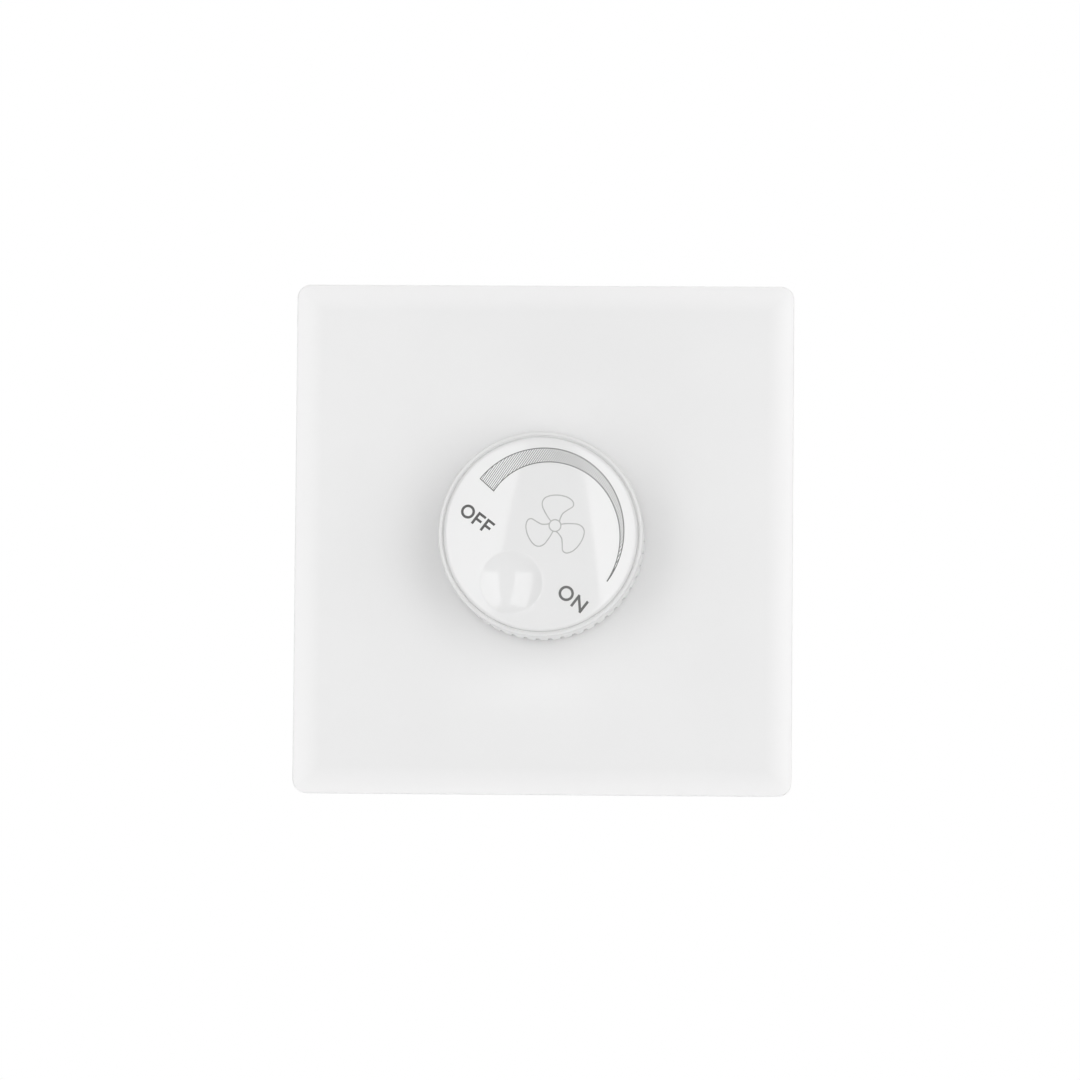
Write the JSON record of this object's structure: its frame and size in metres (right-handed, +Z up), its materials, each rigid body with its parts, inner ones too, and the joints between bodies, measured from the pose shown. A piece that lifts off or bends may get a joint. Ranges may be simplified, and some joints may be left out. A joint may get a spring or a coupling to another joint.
{
  "type": "fan speed control switch",
  "caption": "White wall plate with a large fluted rotary knob that switches a fan on and sets its speed, with the mounting frame, housing and triac control circuit behind it.",
  "frame": {"origin": "middle of the plane where the frame meets the wall, on the knob's axis", "axes": "+Z up the wall, +X to the right seen from the front, +Y into the wall; the front faces -Y"},
  "size_m": [0.086, 0.0551, 0.088],
  "materials": {
    "plate_white": "moulded white, semi-gloss",
    "knob_white": "moulded white, glossy",
    "frame_white": "moulded, fine matt grain",
    "housing_white": "moulded, fine matt grain",
    "zinc_steel": "zinc plated",
    "brass": "turned",
    "tinned": "tinned wire",
    "brown_laminate": "pressed laminate",
    "black_resin": "moulded resin",
    "board_green": "lacquered laminate",
    "sheet_aluminium": "folded sheet",
    "ferrite": "pressed ferrite",
    "enamelled_copper": "enamelled wire",
    "cap_yellow": "moulded box",
    "cap_red": "dipped resin",
    "resistor_beige": "lacquered film",
    "glass_body": "sealed body",
    "fuse_body": "ceramic tube",
    "terminal_grey": "moulded"
  },
  "bodies": {
    "base": {"front_plate": "plate_white", "mounting_frame": "frame_white", "rear_housing": "housing_white", "housing_screws": "zinc_steel", "pot_bushing": "zinc_steel", "pot_washer": "zinc_steel", "pot_nut": "zinc_steel", "pot_wafer": "brown_laminate", "pot_can": "zinc_steel", "pot_switch": "brown_laminate", "pot_pins": "tinned", "circuit_board": "board_green", "triac_body": "black_resin", "triac_tab": "tinned", "triac_leads": "tinned", "heatsink": "sheet_aluminium", "heatsink_screw": "zinc_steel", "choke_core": "ferrite", "choke_winding": "enamelled_copper", "suppression_capacitor": "cap_yellow", "snubber_capacitor": "cap_yellow", "timing_capacitor": "cap_red", "resistors": "resistor_beige", "diac": "glass_body", "fuse": "fuse_body", "terminal_line": "terminal_grey", "terminal_load": "terminal_grey", "terminal_clamps": "brass", "terminal_screws": "zinc_steel"},
    "knob": {"knob_body": "knob_white", "knob_face": "knob_white", "pot_shaft": "brass", "pot_rotor": "black_resin", "pot_wiper": "brass"}
  },
  "joints": [
    {"name": "knob_turn", "type": "hinge", "parent": "base", "child": "knob", "pos_m": [0, -0.012, 0], "axis": [0, 1, 0], "range_deg": [0, 300]}
  ]
}
